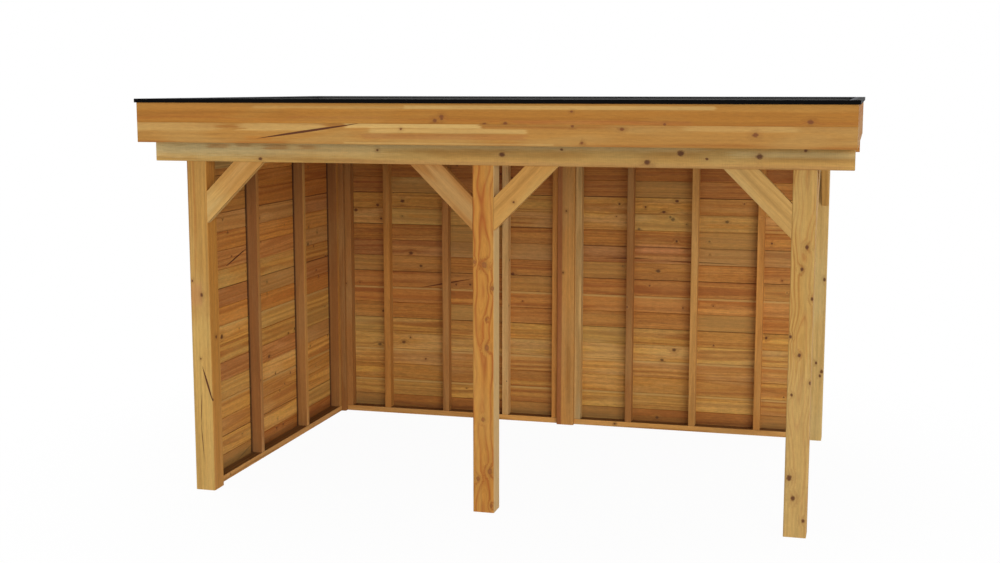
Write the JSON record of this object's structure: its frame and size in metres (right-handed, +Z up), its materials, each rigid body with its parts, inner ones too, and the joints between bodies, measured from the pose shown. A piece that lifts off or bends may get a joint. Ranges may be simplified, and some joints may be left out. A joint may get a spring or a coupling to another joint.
{
  "type": "freestanding veranda",
  "caption": "Freestanding flat-roofed timber veranda: square posts with diagonal braces, board walls on the left and at the back, open front and right side, black-edged roof.",
  "frame": {"origin": "on the ground, under the centre of the roof and of the posts' outline", "axes": "+Z up; the open front faces -Y and the back wall stands at +Y; the board side wall is at -X and the open side at +X"},
  "size_m": [4.02, 2.704, 2.34],
  "materials": {
    "post_timber": "planed softwood with visible grain, knots and resin streaks, untreated",
    "beam_timber": "planed softwood, paler and slightly green, with a few dark knots",
    "brace_timber": "planed softwood with visible grain",
    "fascia_timber": "planed softwood boards, warm orange-brown with pale streaks",
    "wall_frame_timber": "planed softwood battens",
    "wall_boards": "rough-sawn horizontal boards in mixed brown, honey and greenish tones, thin dark joints",
    "roof_timber": "sawn joists and roof boards",
    "membrane": "matt dark grey sheet",
    "edge_trim": "satin black"
  },
  "bodies": {
    "root": {"beam_back": "beam_timber", "beam_front": "beam_timber", "beam_left": "beam_timber", "beam_right": "beam_timber", "brace_front_left": "brace_timber", "brace_front_right": "brace_timber", "brace_middle_left": "brace_timber", "brace_middle_right": "brace_timber", "brace_side_back": "brace_timber", "brace_side_front": "brace_timber", "fascia_back_lower": "fascia_timber", "fascia_back_upper": "fascia_timber", "fascia_front_lower": "fascia_timber", "fascia_front_upper": "fascia_timber", "fascia_left_lower": "fascia_timber", "fascia_left_upper": "fascia_timber", "fascia_right_lower": "fascia_timber", "fascia_right_upper": "fascia_timber", "post_back_left": "post_timber", "post_back_middle": "post_timber", "post_back_right": "post_timber", "post_front_left": "post_timber", "post_front_middle": "post_timber", "post_front_right": "post_timber", "roof_deck": "roof_timber", "roof_joists": "roof_timber", "roof_membrane": "membrane", "roof_upstand": "membrane", "trim_back": "edge_trim", "trim_front": "edge_trim", "trim_left": "edge_trim", "trim_right": "edge_trim", "wall_back_left_boards": "wall_boards", "wall_back_left_bottom_plate": "wall_frame_timber", "wall_back_left_studs": "wall_frame_timber", "wall_back_left_top_plate": "wall_frame_timber", "wall_back_right_boards": "wall_boards", "wall_back_right_bottom_plate": "wall_frame_timber", "wall_back_right_studs": "wall_frame_timber", "wall_back_right_top_plate": "wall_frame_timber", "wall_left_boards": "wall_boards", "wall_left_bottom_plate": "wall_frame_timber", "wall_left_studs": "wall_frame_timber", "wall_left_top_plate": "wall_frame_timber"}
  },
  "joints": []
}
